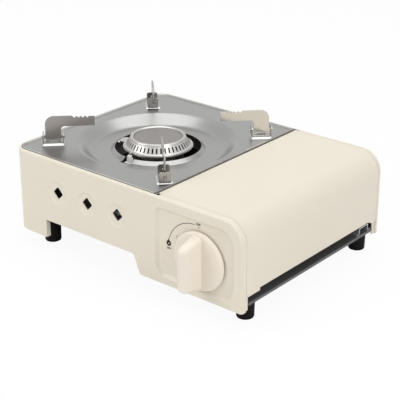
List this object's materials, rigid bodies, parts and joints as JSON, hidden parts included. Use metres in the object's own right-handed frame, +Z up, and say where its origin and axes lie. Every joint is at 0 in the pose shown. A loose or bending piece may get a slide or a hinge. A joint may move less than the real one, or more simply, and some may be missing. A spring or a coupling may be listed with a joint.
{
  "type": "portable cassette stove",
  "caption": "Portable butane cassette stove with cream painted steel body, steel drip-tray top, slotted burner, folding pan supports, hinged cartridge lid and rotary knob.",
  "frame": {"origin": "middle of the bounding box on the floor plane, under the feet", "axes": "+X to the stove's right (the cartridge side), +Y to the back, away from the knob, +Z up"},
  "size_m": [0.28, 0.239, 0.1272],
  "materials": {
    "body_paint": "satin",
    "plate_steel": "satin",
    "support_steel": "satin",
    "bracket_steel": "semi-gloss",
    "burner_steel": "satin",
    "zinc_sheet": "matte",
    "tray_paint": "satin",
    "bright_screws": "semi-gloss",
    "foot_rubber": "matte",
    "knob_plastic": "satin",
    "white_plastic": "satin",
    "black_plastic": "satin",
    "spark_ceramic": "matte",
    "lead_sleeve": "satin",
    "brass_parts": "satin",
    "cast_alloy": "matte",
    "seal_rubber": "matte",
    "magnet_ferrite": "matte"
  },
  "bodies": {
    "stove_body": {"body_casing": "body_paint", "top_plate": "plate_steel", "bottom_tray": "tray_paint", "partition_panel": "zinc_sheet", "tray_rivets": "bright_screws", "foot_front_left": "foot_rubber", "foot_front_right": "foot_rubber", "foot_rear_left": "foot_rubber", "foot_rear_right": "foot_rubber", "foot_screws": "bright_screws", "foot_nuts": "bright_screws", "burner_bowl": "burner_steel", "mixing_tube": "burner_steel", "burner_crown": "burner_steel", "burner_cap": "burner_steel", "burner_stand": "zinc_sheet", "tray_screws": "bright_screws", "injector_jet": "brass_parts", "gas_tube": "brass_parts", "igniter_bracket": "zinc_sheet", "igniter_electrode": "spark_ceramic", "electrode_wire": "bright_screws", "ignition_lead": "lead_sleeve", "piezo_unit": "black_plastic", "regulator_body": "cast_alloy", "regulator_cover": "zinc_sheet", "regulator_screws": "bright_screws", "regulator_bracket": "zinc_sheet", "inlet_seal": "seal_rubber", "cartridge_magnet": "magnet_ferrite", "cartridge_key": "zinc_sheet", "saddle_front": "zinc_sheet", "saddle_rear": "zinc_sheet", "lid_catch": "zinc_sheet", "hinge_lug_front": "zinc_sheet", "hinge_lug_rear": "zinc_sheet", "hinge_rod": "bright_screws", "support_bracket_front_right": "bracket_steel", "support_bracket_front_left": "bracket_steel", "support_bracket_rear_left": "bracket_steel", "support_bracket_rear_right": "bracket_steel"},
    "lid": {"lid_shell": "body_paint", "lid_rib_front": "body_paint", "lid_rib_rear": "body_paint"},
    "knob_set": {"knob": "knob_plastic", "knob_spindle": "bright_screws", "ignition_cam": "white_plastic", "spindle_clip": "bright_screws"},
    "plunger": {"piezo_plunger": "white_plastic"},
    "support_front_right": {"pot_support_front_right": "support_steel"},
    "support_front_left": {"pot_support_front_left": "support_steel"},
    "support_rear_left": {"pot_support_rear_left": "support_steel"},
    "support_rear_right": {"pot_support_rear_right": "support_steel"}
  },
  "joints": [
    {"name": "lid_hinge", "type": "hinge", "parent": "stove_body", "child": "lid", "pos_m": [0.04325, 0.0125, 0.09795], "axis": [0, -1, 0], "range_deg": [0, 98]},
    {"name": "knob_turn", "type": "hinge", "parent": "stove_body", "child": "knob_set", "pos_m": [0.093, -0.0945, 0.053], "axis": [0, -1, 0], "range_deg": [0, 90]},
    {"name": "plunger_slide", "type": "slide", "parent": "stove_body", "child": "plunger", "axis": [-1, 0, 0], "range_m": [0, 0.006]},
    {"name": "support_fold_front_right", "type": "hinge", "parent": "stove_body", "child": "support_front_right", "pos_m": [0.02606, -0.06206, 0.1065], "axis": [0.7071, -0.7071, 0], "range_deg": [0, 90]},
    {"name": "support_fold_front_left", "type": "hinge", "parent": "stove_body", "child": "support_front_left", "pos_m": [-0.11606, -0.06206, 0.1065], "axis": [0.7071, 0.7071, 0], "range_deg": [0, 90]},
    {"name": "support_fold_rear_left", "type": "hinge", "parent": "stove_body", "child": "support_rear_left", "pos_m": [-0.11606, 0.08006, 0.1065], "axis": [-0.7071, 0.7071, 0], "range_deg": [0, 90]},
    {"name": "support_fold_rear_right", "type": "hinge", "parent": "stove_body", "child": "support_rear_right", "pos_m": [0.02606, 0.08006, 0.1065], "axis": [-0.7071, -0.7071, 0], "range_deg": [0, 90]}
  ],
  "couplings": [
    {"joint": "plunger_slide", "follows": "knob_turn", "m_per_rad": 0.0038197}
  ]
}
